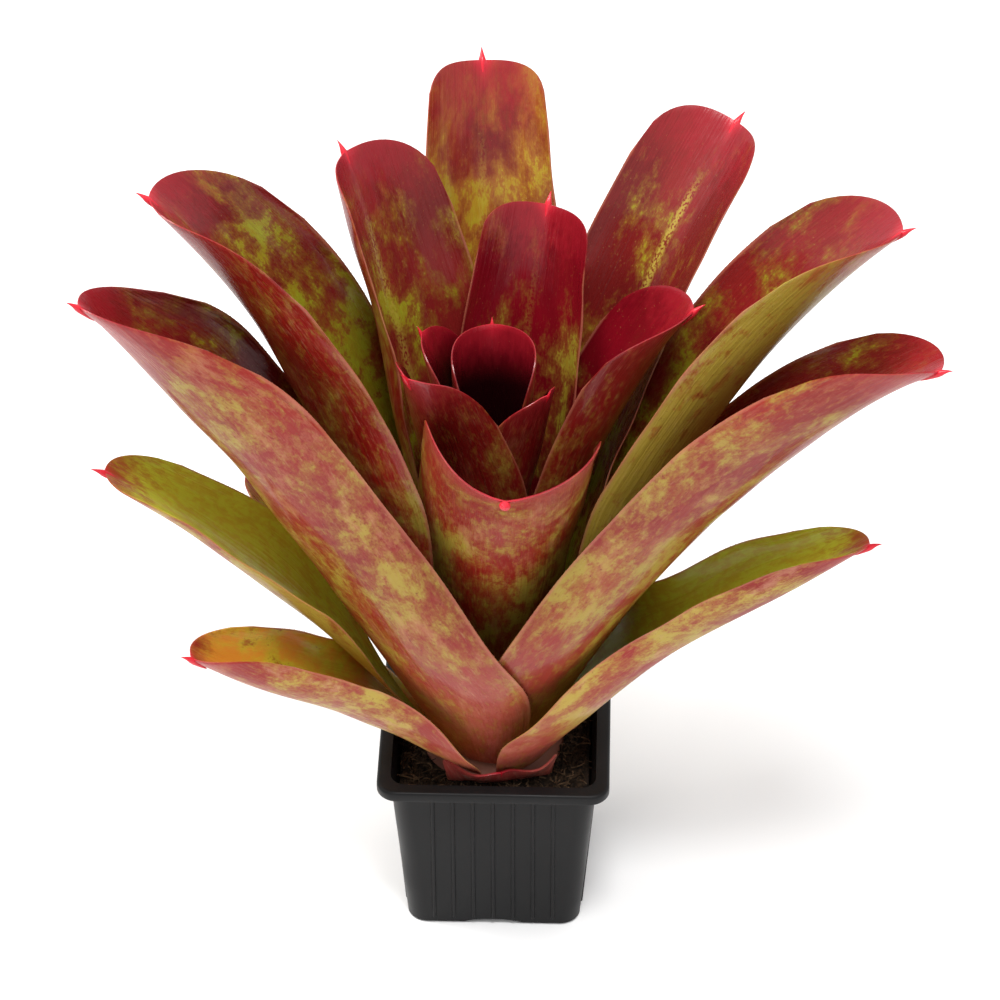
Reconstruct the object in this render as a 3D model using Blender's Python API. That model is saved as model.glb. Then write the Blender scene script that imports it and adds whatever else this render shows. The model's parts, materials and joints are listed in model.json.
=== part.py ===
"""Neoregelia bromeliad growing in a square nursery pot.

The frame's origin is the middle of the pot's flat base, +Z is up and -Y is the pot's front.
Each leaf is a thin curved blade: a sheath that wraps the stem, a U-shaped channel along
its length and a blunt hooded end with one red spine.  Lengths are in millimetres.
"""
import math

import bmesh
import bpy
import numpy as np

MM = 0.001

# pot
RIM = 90.0
RIM_LIP = 4.5
RIM_FLAT = 4.5
BODY_TOP = 80.0
BASE = 68.5
POT_H = 78.0
WALL = 1.6
FLOOR = 2.8
CORNER_R = 8.0
POT_TURN = -1.7
NOTCH_W = 24.0
NOTCH_H = 2.0
DRAIN_R = 4.0
DRAIN_OUT = 20.0

# planting
SOIL_TOP = 65.3
PLANT_X = -1.0
PLANT_Y = 5.0
STEM_R = 27.9
STEM_FOOT = 34.0
CLEAR = 0.35

# leaves
BLADE_T = 1.0
EDGE_T = 0.8
CONE_R = 27.0
CONE_Z = 66.3
CONE_RISE = 0.9
ROWS = 12
ACROSS = (-1.0, -0.7, -0.37, -0.045, 0.045, 0.37, 0.7, 1.0)
SPINE_L = 6.5


# One row a leaf, outermost first.  az: compass angle from +X, foot/mid/end: rise of the midrib in degrees,
# r: radius of its foot, channel: half angle of the U, roll: turn about the midrib, wrap: most it goes round the stem.
LEAVES = {
    "leaf_back_low_right": dict(whorl="outer", az=56, length=143, width=46, foot=56, mid=57, end=30,
        r=27.6, channel=61, roll=4, sheath=0.4, wrap=1.4, narrow=0.35),
    "leaf_front_bract": dict(whorl="outer", az=-85, length=15, width=54, foot=20, mid=50,
        end=76, r=27, channel=45, sheath=0.75, blunt=0.5),
    "leaf_back_low_left": dict(whorl="outer", az=120, length=145, width=47, foot=54, mid=36, end=39,
        r=25.8, channel=64, roll=-1, sheath=0.5, wrap=1.85, narrow=0.35),
    "leaf_outer_left_low": dict(whorl="outer", az=210, length=138, width=59, foot=49, mid=26, end=49,
        r=24.2, channel=93, roll=5, sheath=1.4, wrap=0.75, narrow=0.35, narrow_from=0.55),
    "leaf_outer_right_low": dict(whorl="outer", az=-19, length=179, width=57, foot=58, mid=40, end=43,
        r=24.2, channel=88, roll=-1, sheath=2.2, wrap=1.15, narrow=0.45, narrow_from=0.6),
    "leaf_back_left": dict(whorl="middle", az=154, length=124, width=56, foot=59, mid=41, end=45,
        r=23.8, channel=62, roll=-6, sheath=1.5, wrap=0.25, narrow=0.35),
    "leaf_outer_left": dict(whorl="outer", az=194, length=198, width=57, foot=58, mid=54, end=42,
        r=22.8, channel=59, roll=-11, sheath=0.05, wrap=1.9, narrow=0.45),
    "leaf_back_right": dict(whorl="middle", az=47, length=155, width=55, foot=68, mid=48, end=45,
        r=22.6, channel=57, roll=6, sheath=1.05, wrap=0.6, narrow=0.35),
    "leaf_mid_left": dict(whorl="middle", az=204, length=282, width=102, foot=64, mid=65, end=55,
        r=21.4, channel=99, roll=2, sheath=1.5, wrap=1.6, narrow=0.5, narrow_from=0.7),
    "leaf_back_middle": dict(whorl="middle", az=96, length=204, width=61, foot=68, mid=68, end=46,
        r=21, channel=60, roll=4, sheath=1.15, wrap=0.65, narrow=0.35),
    "leaf_mid_right": dict(whorl="middle", az=-24, length=271, width=90, foot=67, mid=59, end=42,
        r=19.8, channel=83, roll=-14, sheath=1.65, wrap=1.2, narrow=0.3, narrow_from=0.65),
    "leaf_upper_left": dict(whorl="middle", az=183, length=274, width=98, foot=72, mid=81, end=50,
        r=18.8, channel=86, sheath=0.4, wrap=1.55, narrow=0.25, narrow_from=0.65),
    "leaf_upper_right": dict(whorl="middle", az=-8, length=280, width=88, foot=70, mid=72, end=46,
        r=18.4, channel=77, roll=-6, sheath=0.45, wrap=1.7, narrow=0.15, narrow_from=0.7),
    "leaf_top_back": dict(whorl="middle", az=92, length=252, width=62, foot=72, mid=71, end=59, r=17,
        channel=55, roll=7, sheath=0.6, wrap=1.85, narrow=0.15, narrow_from=0.65, shoulder=3, blunt=0.85),
    "leaf_top_right": dict(whorl="middle", az=39, length=254, width=66, foot=82, mid=67, end=50,
        r=15.6, channel=48, sheath=0.8, wrap=1.45, shoulder=2.7, blunt=0.9),
    "leaf_top_left": dict(whorl="middle", az=136, length=237, width=77, foot=86, mid=71, end=68,
        r=13.8, channel=64, roll=14, sheath=0.45, wrap=1.35, shoulder=2.6, blunt=0.9),
    "leaf_front": dict(whorl="middle", az=-87, length=195, width=94, foot=79, mid=78, end=43, r=13.8,
        channel=85, roll=-9, sheath=0.3, wrap=1.6, narrow=0, shoulder=3.5, blunt=0.8),
    "leaf_inner_right": dict(whorl="heart", az=0, length=203, width=68, foot=81, mid=82,
        end=54, r=12, channel=77, roll=-11, sheath=0.4, narrow=0),
    "leaf_inner_back": dict(whorl="heart", az=70, length=206, width=61, foot=86, mid=77, end=66,
        r=10.6, channel=52, sheath=0.95, wrap=1.65, narrow=0.2, shoulder=3.4, blunt=0.8),
    "leaf_inner_front_left": dict(whorl="heart", az=232, length=193, width=65, foot=86,
        mid=82, end=66, r=9.2, channel=70, narrow=0.3),
    "leaf_inner_left": dict(whorl="heart", az=164, length=173, width=48, foot=86,
        mid=87, end=78, r=7.4, channel=60, narrow=0.2),
    "leaf_heart_right": dict(whorl="heart", az=-41, length=162, width=54, foot=89,
        mid=86, end=73, r=5.8, channel=65, narrow=0.35),
    "leaf_heart_cup": dict(whorl="heart", az=91, length=165, width=76, foot=89, mid=86, end=80,
        r=4, channel=95, wrap=2.8, shoulder=2.5, blunt=0.8, spine=4.0),
}


def ease(x):
    """smooth step from 0 to 1"""
    x = np.clip(x, 0.0, 1.0)
    return x * x * (3 - 2 * x)


def leaf_surface(leaf, rows=ROWS, across=ACROSS):
    """middle surface of a leaf: (rows + 1) x len(across) points, base first"""
    n = 200
    s = np.linspace(0, 1, n + 1)
    az = math.radians(leaf["az"])
    length, width = leaf["length"], leaf["width"]
    rise = np.radians(leaf["foot"] * (1 - s) ** 2 + 2 * leaf["mid"] * s * (1 - s) + leaf["end"] * s ** 2)
    ca, sa = np.cos(rise), np.sin(rise)
    ux, uy = math.cos(az), math.sin(az)
    run = np.stack([ca * ux, ca * uy, sa], -1)
    r0 = leaf["r"]
    z0 = CONE_Z + CONE_RISE * (CONE_R - r0)
    start = np.array([r0 * ux, r0 * uy, z0])
    steps = np.cumsum((run[1:] + run[:-1]) / 2 * length / n, axis=0)
    line = np.vstack([start, start + steps])
    side = np.tile([-uy, ux, 0.0], (n + 1, 1))
    face = np.stack([-sa * ux, -sa * uy, ca], -1)
    roll = np.radians(leaf.get("roll", 0)) * ease((s - 0.15) / 0.85)
    cr, sr = np.cos(roll)[:, None], np.sin(roll)[:, None]
    side, face = side * cr + face * sr, face * cr - side * sr
    # half width: wide at the sheath, limited to part of the way round the stem, narrower at the tip
    sheath = leaf.get("sheath", 1.0)
    half = width / 2 * (sheath + (1 - sheath) * ease((s - 0.02) / 0.5))
    start_t = leaf.get("narrow_from", 0.5)
    half = half * (1 - leaf.get("narrow", 0.1) * ease((s - start_t) / (1 - start_t)))
    out = np.hypot(line[:, 0], line[:, 1])
    limit = leaf.get("wrap", 1.75) * out / np.maximum(sa, 0.3)
    half = (half ** -6 + limit ** -6) ** (-1 / 6)
    # the blade bends across as a channel, and round the stem near its foot
    channel = math.radians(leaf["channel"]) / half * ease((s + 0.05) / 0.55)
    round_stem = sa / np.maximum(out, 3)
    bend = (channel ** 4 + round_stem ** 4) ** 0.25
    t = np.array(across)
    ex = leaf.get("shoulder", 2.1)
    reach = 1 - width / 2 / length * leaf.get("blunt", 1.1) * (1 - (1 - np.abs(t) ** ex) ** (1 / ex))
    along = (1 - (1 - np.linspace(0, 1, rows + 1)) ** 1.15)[:, None] * reach[None, :]
    at = lambda a: np.stack([np.interp(along, s, a[:, i]) for i in range(3)], -1)
    w, k = np.interp(along, s, half), np.interp(along, s, bend)
    ang = np.clip(t * w * k, -2.9, 2.9)
    points = at(line) + at(side) * (np.sin(ang) / k)[..., None] + at(face) * ((1 - np.cos(ang)) / k)[..., None]
    lift = points[0, :, 2] - z0
    points[..., 2] -= lift * (1 - ease(along / 0.3))
    return points + np.array([PLANT_X, PLANT_Y, 0.0])


def blade_mesh(grid, thick=BLADE_T, edge=EDGE_T, spine=SPINE_L):
    """closed blade on a grid of points, with its end drawn out to a spine at the middle"""
    rows, cols = grid.shape[:2]
    du = np.gradient(grid, axis=0)
    dv = np.gradient(grid, axis=1)
    normal = np.cross(du, dv)
    normal /= np.linalg.norm(normal, axis=-1, keepdims=True)
    t = np.full((rows, cols, 1), thick)
    t[:, 0] = t[:, -1] = t[-1] = edge
    top, low = grid + normal * t / 2, grid - normal * t / 2
    verts = [tuple(p) for p in np.concatenate([top.reshape(-1, 3), low.reshape(-1, 3)])]
    n = rows * cols
    faces = []
    for i in range(rows - 1):
        for j in range(cols - 1):
            a, b, c, d = i * cols + j, (i + 1) * cols + j, (i + 1) * cols + j + 1, i * cols + j + 1
            faces += [(a, b, c), (a, c, d), (a + n, c + n, b + n), (a + n, d + n, c + n)]
    ring = [i * cols for i in range(rows)]
    ring += [(rows - 1) * cols + j for j in range(1, cols)]
    ring += [i * cols + cols - 1 for i in range(rows - 2, -1, -1)]
    ring += list(range(cols - 2, 0, -1))
    left = (rows - 1) * cols + cols // 2 - 1
    for a, b in zip(ring, ring[1:] + ring[:1]):
        if a == left and spine:
            continue
        faces += [(a, a + n, b), (b, a + n, b + n)]
    if spine:
        right = left + 1
        base = [left, left + n, right + n, right]
        corners = np.array([verts[k] for k in base])
        mid = corners.mean(axis=0)
        out = du[-1, cols // 2 - 1:cols // 2 + 1].mean(axis=0)
        out /= np.linalg.norm(out)
        up = normal[-1, cols // 2]
        neck = mid + out * spine * 0.45 + (corners - mid) * 0.62 - up * 0.2
        tip = mid + out * spine - up * 1.6
        first = len(verts)
        verts += [tuple(p) for p in neck] + [tuple(tip)]
        for k in range(4):
            a, b = base[k], base[(k + 1) % 4]
            c, d = first + k, first + (k + 1) % 4
            faces += [(a, b, c), (b, d, c), (c, d, first + 4)]
    return verts, faces


def rounded_square(size, radius, z, corner=5):
    """closed outline of a square with round corners, counter-clockwise seen from above"""
    pts = []
    for q, (sx, sy) in enumerate(((1, 1), (-1, 1), (-1, -1), (1, -1))):
        for k in range(corner + 1):
            a = math.radians(90 * q + 90 * k / corner)
            x = sx * (size / 2 - radius) + radius * math.cos(a)
            y = sy * (size / 2 - radius) + radius * math.sin(a)
            pts.append((x, y, z))
    return pts


def loft(rings, cap_first=True, cap_last=True):
    """solid skin through rings of equal point counts"""
    verts = [p for ring in rings for p in ring]
    n = len(rings[0])
    faces = []
    for i in range(len(rings) - 1):
        for j in range(n):
            a, b = i * n + j, i * n + (j + 1) % n
            faces.append((a, b, b + n, a + n))
    if cap_first:
        faces.append(tuple(reversed(range(n))))
    if cap_last:
        faces.append(tuple(range((len(rings) - 1) * n, len(rings) * n)))
    return verts, faces


def material(name, colour, rough):
    mat = bpy.data.materials.new(name)
    mat.use_nodes = True
    shader = mat.node_tree.nodes["Principled BSDF"]
    shader.inputs["Base Color"].default_value = (*colour, 1)
    shader.inputs["Roughness"].default_value = rough
    shader.inputs["Metallic"].default_value = 0.0
    return mat


def add(name, verts, faces, mat, smooth=True, turn=0.0):
    """mesh object in metres from points in millimetres"""
    c, s = math.cos(math.radians(turn)), math.sin(math.radians(turn))
    pts = [((x * c - y * s) * MM, (x * s + y * c) * MM, z * MM) for x, y, z in verts]
    mesh = bpy.data.meshes.new(name)
    mesh.from_pydata(pts, [], faces)
    mesh.update()
    obj = bpy.data.objects.new(name, mesh)
    bpy.context.collection.objects.link(obj)
    mesh.materials.append(mat)
    if smooth:
        mesh.shade_smooth()
        mesh.set_sharp_from_angle(angle=math.radians(40))
    return obj


def cylinder(name, radius, z0, z1, x, y, sides, mat):
    ring = lambda z: [(x + radius * math.cos(2 * math.pi * k / sides),
                       y + radius * math.sin(2 * math.pi * k / sides), z) for k in range(sides)]
    return add(name, *loft([ring(z0), ring(z1)]), mat)


def cut(obj, cutters):
    """subtract each cutter and bake the result"""
    for cutter in cutters:
        mod = obj.modifiers.new("cut", "BOOLEAN")
        mod.operation = "DIFFERENCE"
        mod.solver = "EXACT"
        mod.object = cutter
    graph = bpy.context.evaluated_depsgraph_get()
    baked = bpy.data.meshes.new_from_object(obj.evaluated_get(graph))
    obj.modifiers.clear()
    old = obj.data
    obj.data = baked
    baked.name = obj.name
    bpy.data.meshes.remove(old)
    for cutter in cutters:
        bpy.data.objects.remove(cutter)


def inner_size(z):
    """clear width inside the pot wall at height z"""
    top = BODY_TOP - 2 * WALL
    low = BASE - 2 * WALL
    return low + (top - low) * z / (POT_H - RIM_LIP)


for old in list(bpy.data.objects):
    bpy.data.objects.remove(old, do_unlink=True)

plastic = material("pot_plastic", (0.022, 0.022, 0.023), 0.42)
peat = material("peat", (0.055, 0.036, 0.024), 0.95)
wood = material("stem_tissue", (0.42, 0.38, 0.20), 0.7)
outer_skin = material("outer_leaf_skin", (0.42, 0.16, 0.10), 0.45)
middle_skin = material("middle_leaf_skin", (0.36, 0.07, 0.05), 0.4)
heart_skin = material("heart_leaf_skin", (0.22, 0.015, 0.02), 0.35)

# pot: tapered square body with a turned-out rim, open above
open_w = RIM - 2 * RIM_FLAT
mid_r = CORNER_R - WALL
seat = POT_H - RIM_LIP
profile = [
    rounded_square(BASE, CORNER_R, 0),
    rounded_square(BODY_TOP, CORNER_R, seat),
    rounded_square(RIM - 1.0, CORNER_R, seat),
    rounded_square(RIM, CORNER_R, seat + 0.8),
    rounded_square(RIM, CORNER_R, POT_H - 0.8),
    rounded_square(RIM - 1.6, CORNER_R - 0.6, POT_H),
    rounded_square(open_w, CORNER_R - 2, POT_H),
    rounded_square(open_w - 1.5, CORNER_R - 2, POT_H - 2.0),
    rounded_square(inner_size(seat), mid_r, seat - 3.0),
    rounded_square(inner_size(0), mid_r, FLOOR),
]
pot = add("pot", *loft(profile), plastic, turn=POT_TURN)
cutters = []
for k in range(4):
    a = math.radians(45 + 90 * k + POT_TURN)
    hole = cylinder("drain", DRAIN_R, -2, FLOOR + 2, DRAIN_OUT * math.cos(a), DRAIN_OUT * math.sin(a), 16, plastic)
    cutters.append(hole)
for k in range(2):
    # low arch at the foot of each side: a flat-topped bar right through the pot
    w, h, d = NOTCH_W / 2, NOTCH_H, BASE
    outline = [(-w, -1), (w, -1), (w, 0), (w - 5, h), (-w + 5, h), (-w, 0)]
    depth = 4.0
    for side in (-1, 1):
        y0, y1 = side * (d / 2 - depth), side * (d / 2 + 3)
        y0, y1 = min(y0, y1), max(y0, y1)
        rings = [[(x, y, z) for x, z in reversed(outline)] for y in (y0, y1)]
        bar = add("arch", *loft(rings), plastic, turn=POT_TURN + 90 * k)
        cutters.append(bar)
cut(pot, cutters)

# soil block with a plain round hole for the stem
soil = add("soil", *loft([
    rounded_square(inner_size(0) - 1.2, mid_r, FLOOR + CLEAR),
    rounded_square(inner_size(SOIL_TOP) - 1.2, mid_r, SOIL_TOP),
]), peat, turn=POT_TURN)
cut(soil, [cylinder("hole", STEM_R + CLEAR, STEM_FOOT - CLEAR, SOIL_TOP + 5, PLANT_X, PLANT_Y, 32, peat)])

# stem: root ball neck in the hole, then a stepped cone that carries the leaves
drop = (BLADE_T / 2 + CLEAR) * (1 + CONE_RISE)
tip_r = 2.5
sides = 32
turned = []
cone_z = lambda r: CONE_Z - drop + CONE_RISE * (CONE_R - r)
for r, z in ((STEM_R - 6, STEM_FOOT), (STEM_R, STEM_FOOT + 8), (STEM_R, cone_z(STEM_R)), (tip_r, cone_z(tip_r))):
    turned.append([(PLANT_X + r * math.cos(2 * math.pi * k / sides),
                    PLANT_Y + r * math.sin(2 * math.pi * k / sides), z) for k in range(sides)])
add("stem", *loft(turned), wood)

# leaves, from the outermost to the heart
for name, leaf in LEAVES.items():
    skin = {"outer": outer_skin, "middle": middle_skin, "heart": heart_skin}[leaf["whorl"]]
    spine = leaf.get("spine", SPINE_L)
    add(name, *blade_mesh(leaf_surface(leaf), spine=spine), skin)
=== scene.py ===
import math

import bmesh
import bpy
import numpy as np
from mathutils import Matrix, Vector
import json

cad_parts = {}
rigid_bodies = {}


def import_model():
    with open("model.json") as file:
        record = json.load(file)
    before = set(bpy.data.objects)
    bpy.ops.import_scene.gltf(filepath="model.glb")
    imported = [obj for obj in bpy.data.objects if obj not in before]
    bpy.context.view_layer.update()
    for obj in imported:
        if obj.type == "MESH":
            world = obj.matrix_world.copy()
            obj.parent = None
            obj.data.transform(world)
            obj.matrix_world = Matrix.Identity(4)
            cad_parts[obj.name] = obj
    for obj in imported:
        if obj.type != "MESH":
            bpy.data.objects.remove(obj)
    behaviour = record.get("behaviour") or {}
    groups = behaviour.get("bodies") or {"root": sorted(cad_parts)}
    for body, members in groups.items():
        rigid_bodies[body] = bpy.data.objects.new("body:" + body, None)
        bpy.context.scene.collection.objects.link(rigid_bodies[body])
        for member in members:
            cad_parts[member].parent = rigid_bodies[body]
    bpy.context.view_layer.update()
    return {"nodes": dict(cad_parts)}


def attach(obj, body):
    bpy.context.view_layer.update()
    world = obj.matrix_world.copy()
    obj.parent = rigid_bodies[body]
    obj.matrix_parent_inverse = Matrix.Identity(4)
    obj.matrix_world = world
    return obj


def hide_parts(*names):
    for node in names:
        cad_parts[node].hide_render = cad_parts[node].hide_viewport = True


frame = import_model()

# Lengths are in millimetres until a mesh is made.  The pot stands on z = 0, its front towards -Y.
MM = 0.001

# pot
RIM = 90.0
RIM_LIP = 4.5           # height of the turned-out rim
RIM_FLAT = 4.5          # width of its flat top
SKIRT_ROUND = 0.6       # edge radii: under the rim, over it and into the mouth
RIM_ROUND = 1.2
MOUTH_ROUND = 1.6
BODY_TOP = 80.0
BASE = 68.5
BASE_ROUND = 0.9
POT_H = 78.0
WALL = 1.6
FLOOR = 2.8
CORNER_R = 8.0
POT_TURN = -1.7         # degrees
ARCH_W = 24.0
ARCH_H = 2.5
DRAIN_R = 4.0
DRAIN_OUT = 20.0
CUT_PAST = 2.0          # how far a cutter runs past the faces it opens

# peat and stem
SOIL_TOP = 65.3
SOIL_GAP = 0.6
PLANT_X = -1.0
PLANT_Y = 5.0
STEM_R = 27.9
STEM_HOLE_R = STEM_R + 0.4
STEM_HOLE_Z = 40.0
CONE_R = 27.0
CONE_Z = 66.3
CONE_RISE = 0.9

# blades
ROWS = 84
ACROSS = tuple(math.copysign(abs(k / 15) ** 0.85, k) for k in range(-15, 16))
STATIONS = 200          # points along a midrib
BLADE = 0.95            # thickness in the middle, what the margin loses, and the tip's
BLADE_LOSS = 0.5
BLADE_TIP = 0.45
DENTS = 9
DENT_DEPTH = 0.17
PHASE = 6.28
SPINE = ((-9, 0.25), (-6.5, 0.8), (-4, 1.15), (-1.5, 1.45), (0.2, 1.4), (1.5, 1.0),
         (2.9, 0.6), (4.0, 0.33), (4.8, 0.12))      # past the tip, radius
SPINE_SIDES = 10
SPINE_MARK = 1.5        # the skin tells a spine by this place along the leaf
PATTERN_STEP = 11.3     # keeps the patches of one leaf apart from those of the next
TEETH_SPAN = (0.12, 0.985)

# One row a leaf, outermost first.  az: compass angle from +X; foot, mid, end: rise of the midrib in
# degrees; r: radius of its foot; channel: half angle of the U; roll: turn about the midrib; sheath:
# width of the foot against the blade's; wrap: half the arc it may take round the stem, in radians;
# narrow, narrow_from: how much the end tapers and from where; shoulder, blunt: how square and how
# short the rounded end is.
LEAVES = {
    "leaf_back_low_right": dict(whorl="outer", az=56, length=143, width=46, foot=56, mid=57,
        end=30, r=27.6, channel=61, roll=4, sheath=0.4, wrap=1.4, narrow=0.35),
    "leaf_front_bract": dict(whorl="outer", az=-85, length=15, width=54, foot=20, mid=50, end=76,
        r=27, channel=45, sheath=0.75, blunt=0.5),
    "leaf_back_low_left": dict(whorl="outer", az=120, length=145, width=47, foot=54, mid=36,
        end=39, r=25.8, channel=64, roll=-1, sheath=0.5, wrap=1.85, narrow=0.35),
    "leaf_outer_left_low": dict(whorl="outer", az=210, length=138, width=59, foot=49, mid=26,
        end=49, r=24.2, channel=93, roll=5, sheath=1.4, wrap=0.75, narrow=0.35, narrow_from=0.55),
    "leaf_outer_right_low": dict(whorl="outer", az=-19, length=179, width=57, foot=58, mid=40,
        end=43, r=24.2, channel=88, roll=-1, sheath=2.2, wrap=1.15, narrow=0.45, narrow_from=0.6),
    "leaf_back_left": dict(whorl="middle", az=154, length=124, width=56, foot=59, mid=41, end=45,
        r=23.8, channel=62, roll=-6, sheath=1.5, wrap=0.25, narrow=0.35),
    "leaf_outer_left": dict(whorl="outer", az=194, length=198, width=57, foot=58, mid=54, end=42,
        r=22.8, channel=59, roll=-11, sheath=0.05, wrap=1.9, narrow=0.45),
    "leaf_back_right": dict(whorl="middle", az=47, length=155, width=55, foot=68, mid=48, end=45,
        r=22.6, channel=57, roll=6, sheath=1.05, wrap=0.6, narrow=0.35),
    "leaf_mid_left": dict(whorl="middle", az=204, length=282, width=102, foot=64, mid=65, end=55,
        r=21.4, channel=99, roll=2, sheath=1.5, wrap=1.6, narrow=0.5, narrow_from=0.7),
    "leaf_back_middle": dict(whorl="middle", az=96, length=204, width=61, foot=68, mid=68, end=46,
        r=21, channel=60, roll=4, sheath=1.15, wrap=0.65, narrow=0.35),
    "leaf_mid_right": dict(whorl="middle", az=-24, length=271, width=90, foot=67, mid=59, end=42,
        r=19.8, channel=83, roll=-14, sheath=1.65, wrap=1.2, narrow=0.3, narrow_from=0.65),
    "leaf_upper_left": dict(whorl="middle", az=183, length=274, width=98, foot=72, mid=81, end=50,
        r=18.8, channel=86, sheath=0.4, wrap=1.55, narrow=0.25, narrow_from=0.65),
    "leaf_upper_right": dict(whorl="middle", az=-8, length=280, width=88, foot=70, mid=72, end=46,
        r=18.4, channel=77, roll=-6, sheath=0.45, wrap=1.7, narrow=0.15, narrow_from=0.7),
    "leaf_top_back": dict(whorl="middle", az=92, length=252, width=62, foot=72, mid=71, end=59,
        r=17, channel=55, roll=7, sheath=0.6, wrap=1.85, narrow=0.15, narrow_from=0.65,
        shoulder=3, blunt=0.85),
    "leaf_top_right": dict(whorl="middle", az=39, length=254, width=66, foot=82, mid=67, end=50,
        r=15.6, channel=48, sheath=0.8, wrap=1.45, shoulder=2.7, blunt=0.9),
    "leaf_top_left": dict(whorl="middle", az=136, length=237, width=77, foot=86, mid=71, end=68,
        r=13.8, channel=64, roll=14, sheath=0.45, wrap=1.35, shoulder=2.6, blunt=0.9),
    "leaf_front": dict(whorl="middle", az=-87, length=195, width=94, foot=79, mid=78, end=43,
        r=13.8, channel=85, roll=-9, sheath=0.3, wrap=1.6, narrow=0, shoulder=3.5, blunt=0.8),
    "leaf_inner_right": dict(whorl="heart", az=0, length=203, width=68, foot=81, mid=82, end=54,
        r=12, channel=77, roll=-11, sheath=0.4, narrow=0),
    "leaf_inner_back": dict(whorl="heart", az=70, length=206, width=61, foot=86, mid=77, end=66,
        r=10.6, channel=52, sheath=0.95, wrap=1.65, narrow=0.2, shoulder=3.4, blunt=0.8),
    "leaf_inner_front_left": dict(whorl="heart", az=232, length=193, width=65, foot=86, mid=82,
        end=66, r=9.2, channel=70, narrow=0.3),
    "leaf_inner_left": dict(whorl="heart", az=164, length=173, width=48, foot=86, mid=87, end=78,
        r=7.4, channel=60, narrow=0.2),
    "leaf_heart_right": dict(whorl="heart", az=-41, length=162, width=54, foot=89, mid=86, end=73,
        r=5.8, channel=65, narrow=0.35),
    "leaf_heart_cup": dict(whorl="heart", az=91, length=165, width=76, foot=89, mid=86, end=80,
        r=4, channel=95, wrap=2.8, shoulder=2.5, blunt=0.8),
}

# How green each leaf is inside and outside, and what is special about it; dark is how much painted
# shade darkens the inner face deep in the cup.
LOOKS = {
    "leaf_front_bract": dict(green_in=0.1, green_out=0.1, pale=0.9, spine=0.35, frill=1.0),
    "leaf_outer_left_low": dict(green_in=0.8, green_out=0.42, pale=0.55, warm=1.0),
    "leaf_outer_right_low": dict(green_in=1.3, green_out=0.4, pale=0.6),
    "leaf_outer_left": dict(green_in=1.3, green_out=0.7, pale=0.35),
    "leaf_back_low_left": dict(green_in=0.9, green_out=0.6),
    "leaf_back_low_right": dict(green_in=0.9, green_out=0.6),
    "leaf_back_left": dict(green_in=0.8, green_out=0.5),
    "leaf_back_right": dict(green_in=0.8, green_out=0.5),
    "leaf_back_middle": dict(green_in=0.6, green_out=0.5),
    "leaf_mid_left": dict(green_in=0.26, green_out=0.32, pale=0.55),
    "leaf_mid_right": dict(green_in=0.28, green_out=0.36, pale=0.3),
    "leaf_upper_right": dict(green_in=0.36, green_out=1.0, pale=0.1),
    "leaf_upper_left": dict(green_in=0.52, green_out=0.3, pale=0.25),
    "leaf_top_back": dict(green_in=0.42, green_out=0.4, streak=0.2, warm=0.22),
    "leaf_top_right": dict(green_in=0.26, green_out=0.45, streak=1.0),
    "leaf_top_left": dict(green_in=0.4, green_out=0.3, streak=0.6, pale=0.6),
    "leaf_front": dict(green_in=0.25, green_out=0.34, pale=0.45, spine=0.9, knob=1.0),
    "leaf_inner_right": dict(green_in=0.08, green_out=0.15, pale=0.2),
    "leaf_inner_back": dict(green_in=0.26, green_out=0.2, streak=0.1, pale=0.2),
    "leaf_inner_front_left": dict(green_in=0.05, green_out=0.22, pale=0.3, dark=0.6, spine=0.8),
    "leaf_inner_left": dict(green_in=0.0, green_out=0.15, dark=0.85, spine=0.6),
    "leaf_heart_right": dict(green_in=0.0, green_out=0.1, dark=0.9, spine=0.5),
    "leaf_heart_cup": dict(green_in=0.0, green_out=0.1, dark=0.97, spine=0.5),
}


def ease(x):
    """smooth step from 0 to 1"""
    x = np.clip(x, 0.0, 1.0)
    return x * x * (3 - 2 * x)


def places_along(leaf):
    """share of the length at which each grid point lies; the end rows follow the rounded tip"""
    t = np.array(ACROSS)
    power = leaf.get("shoulder", 2.1)
    blunt = leaf["width"] / 2 / leaf["length"] * leaf.get("blunt", 1.1)
    reach = 1 - blunt * (1 - (1 - np.abs(t) ** power) ** (1 / power))
    return (1 - (1 - np.linspace(0, 1, ROWS + 1)) ** 1.15)[:, None] * reach[None, :]


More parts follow.
